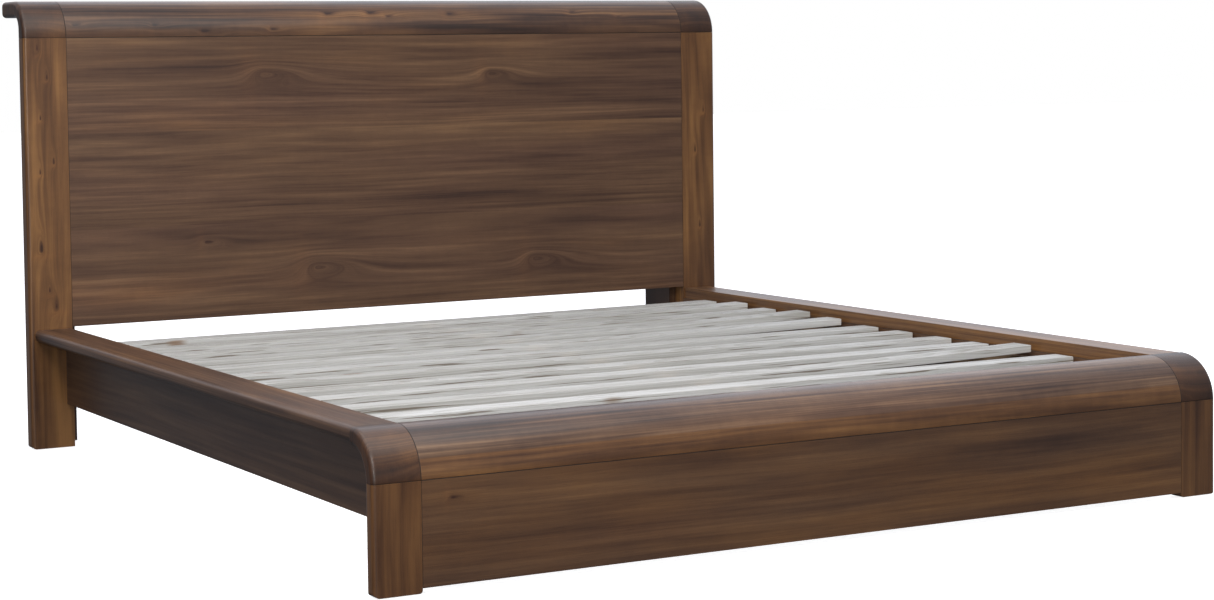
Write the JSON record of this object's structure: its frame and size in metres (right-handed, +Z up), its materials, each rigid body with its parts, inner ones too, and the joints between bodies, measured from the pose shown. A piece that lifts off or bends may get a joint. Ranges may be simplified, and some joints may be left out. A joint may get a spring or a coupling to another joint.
{
  "type": "sleigh bed",
  "caption": "Low wooden bed with a curled headboard and footboard, wide side caps, loose slats, and a centre beam on screw-adjusted feet.",
  "frame": {"origin": "on the floor, under the centre of the overall box", "axes": "+Y from the footboard to the headboard, +X to the right of someone at the foot who faces the headboard, +Z up"},
  "size_m": [2.178, 2.353, 1.206],
  "materials": {
    "walnut_solid": "semi-gloss stain",
    "walnut_end_grain": "semi-gloss stain",
    "walnut_veneer": "satin stain",
    "walnut_dark": "satin stain",
    "slat_pine": "raw",
    "frame_pine": "raw",
    "zinc_steel": "zinc plated",
    "black_plastic": "matte"
  },
  "bodies": {
    "bed_frame": {"beam_saddle_foot": "zinc_steel", "beam_saddle_head": "zinc_steel", "centre_beam": "frame_pine", "centre_leg_1": "frame_pine", "centre_leg_2": "frame_pine", "centre_leg_3": "frame_pine", "cross_rail_foot": "frame_pine", "cross_rail_head": "frame_pine", "footboard_corner_left": "walnut_end_grain", "footboard_corner_right": "walnut_end_grain", "footboard_leg_left": "walnut_solid", "footboard_leg_right": "walnut_solid", "footboard_panel": "walnut_veneer", "footboard_top_rail": "walnut_solid", "glide_foot_left": "black_plastic", "glide_foot_right": "black_plastic", "glide_head_left": "black_plastic", "glide_head_right": "black_plastic", "headboard_corner_left": "walnut_end_grain", "headboard_corner_right": "walnut_end_grain", "headboard_panel": "walnut_veneer", "headboard_post_left": "walnut_solid", "headboard_post_right": "walnut_solid", "headboard_return_left": "walnut_dark", "headboard_return_right": "walnut_dark", "headboard_top_rail": "walnut_solid", "leg_insert_1": "zinc_steel", "leg_insert_2": "zinc_steel", "leg_insert_3": "zinc_steel", "rail_hook_foot_left": "zinc_steel", "rail_hook_foot_right": "zinc_steel", "rail_hook_head_left": "zinc_steel", "rail_hook_head_right": "zinc_steel", "rail_keeper_foot_left": "zinc_steel", "rail_keeper_foot_right": "zinc_steel", "rail_keeper_head_left": "zinc_steel", "rail_keeper_head_right": "zinc_steel", "side_cap_left": "walnut_solid", "side_cap_right": "walnut_solid", "side_rail_left": "walnut_veneer", "side_rail_right": "walnut_veneer", "slat_01": "slat_pine", "slat_02": "slat_pine", "slat_03": "slat_pine", "slat_04": "slat_pine", "slat_05": "slat_pine", "slat_06": "slat_pine", "slat_07": "slat_pine", "slat_08": "slat_pine", "slat_09": "slat_pine", "slat_10": "slat_pine", "slat_11": "slat_pine", "slat_12": "slat_pine", "slat_ledger_left": "frame_pine", "slat_ledger_right": "frame_pine"},
    "levelling_foot_1": {"levelling_foot_1": "black_plastic"},
    "levelling_foot_2": {"levelling_foot_2": "black_plastic"},
    "levelling_foot_3": {"levelling_foot_3": "black_plastic"}
  },
  "joints": [
    {"name": "foot_1_screw", "type": "slide", "parent": "bed_frame", "child": "levelling_foot_1", "axis": [0, 0, 1], "range_m": [-0.012, 0.012]},
    {"name": "foot_2_screw", "type": "slide", "parent": "bed_frame", "child": "levelling_foot_2", "axis": [0, 0, 1], "range_m": [-0.012, 0.012]},
    {"name": "foot_3_screw", "type": "slide", "parent": "bed_frame", "child": "levelling_foot_3", "axis": [0, 0, 1], "range_m": [-0.012, 0.012]}
  ]
}
